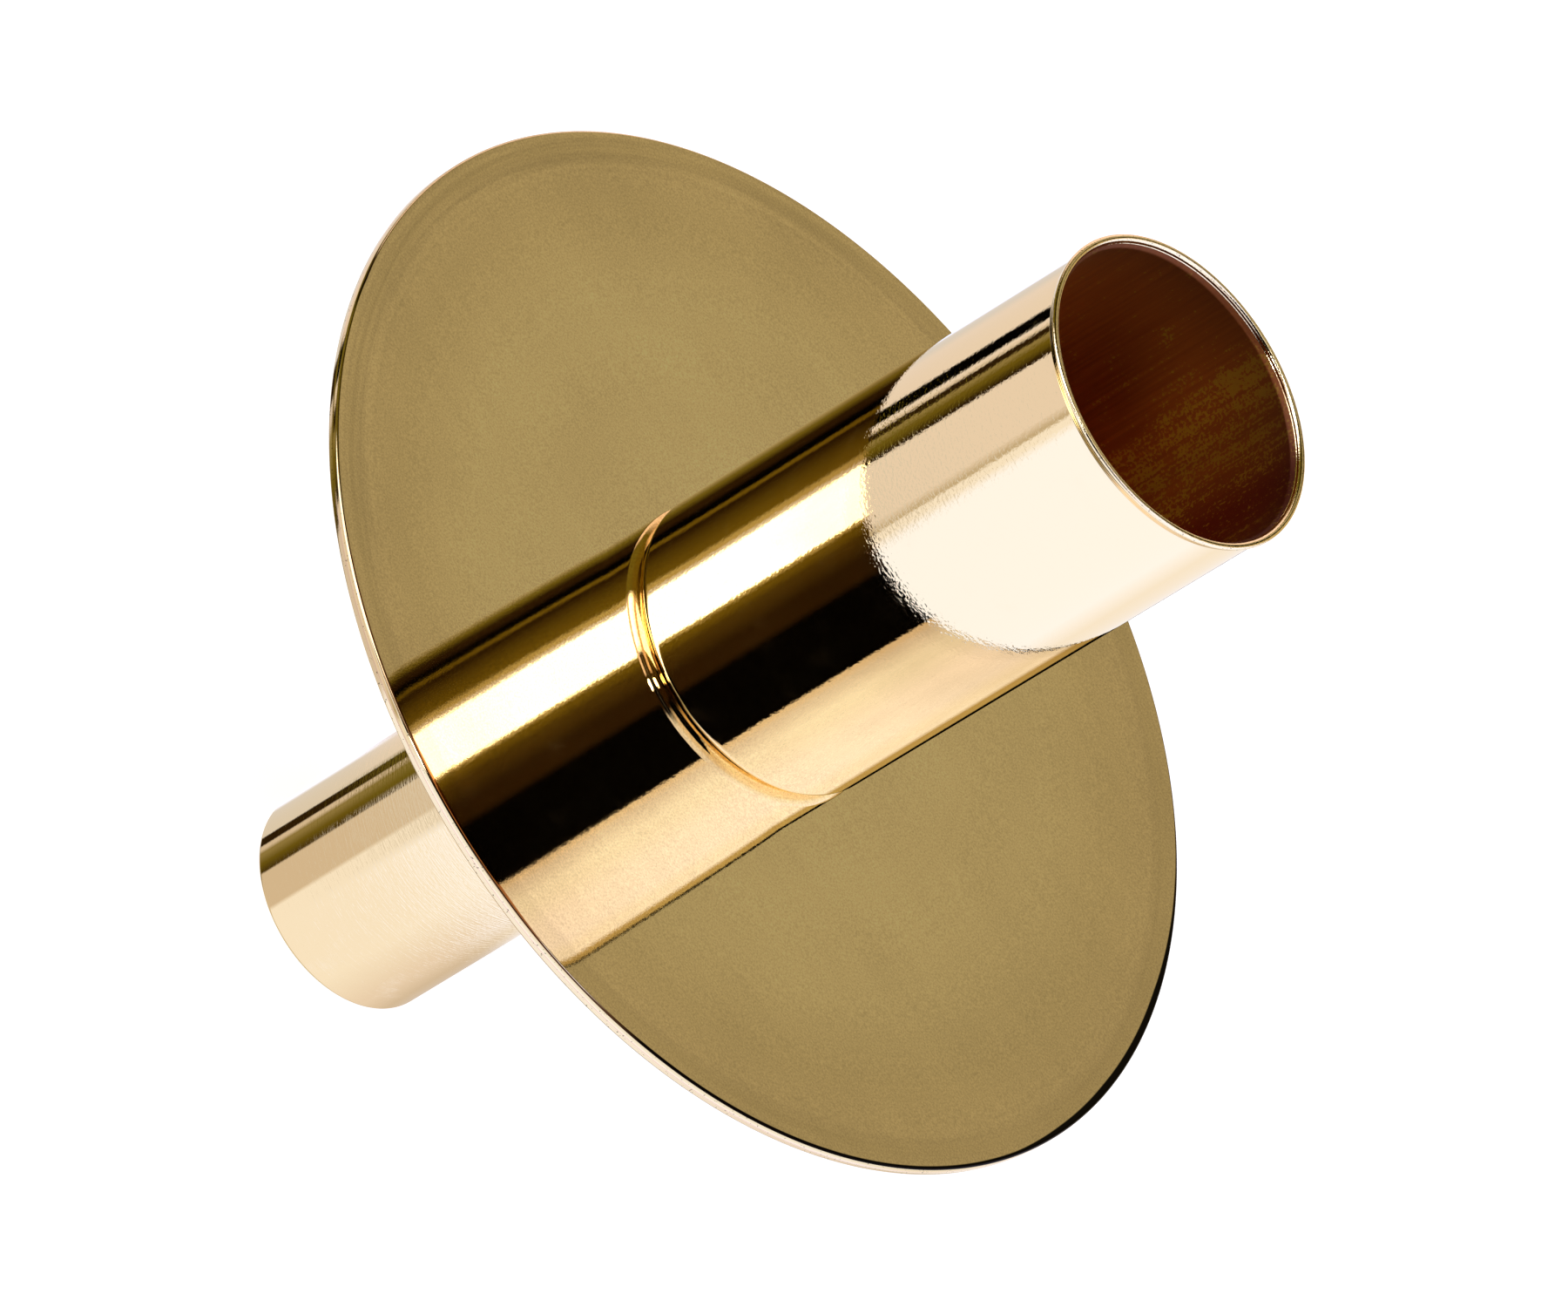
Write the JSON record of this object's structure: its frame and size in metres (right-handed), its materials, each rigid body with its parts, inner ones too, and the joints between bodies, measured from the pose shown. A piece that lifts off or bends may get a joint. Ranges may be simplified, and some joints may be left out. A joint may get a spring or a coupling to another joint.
{
  "type": "bottle candle holder",
  "caption": "Candle cup on a round drip disc, with a spigot below that plugs a wine bottle's neck to make it a candlestick.",
  "frame": {"origin": "centre of the drip disc's underside, the face that rests on the bottle's mouth", "axes": "+Z along the common axis of cup, disc and spigot, towards the cup's open end; X and Y lie in the disc"},
  "size_m": [0.08, 0.08, 0.0865],
  "materials": {
    "gold_plate": "polished",
    "zinc_steel": "bright zinc plated"
  },
  "bodies": {
    "root": {"candle_cup": "gold_plate", "drip_disc": "gold_plate", "neck_spigot": "gold_plate", "clamp_screw": "zinc_steel", "spring_washer": "zinc_steel", "hex_nut": "zinc_steel"}
  },
  "joints": []
}
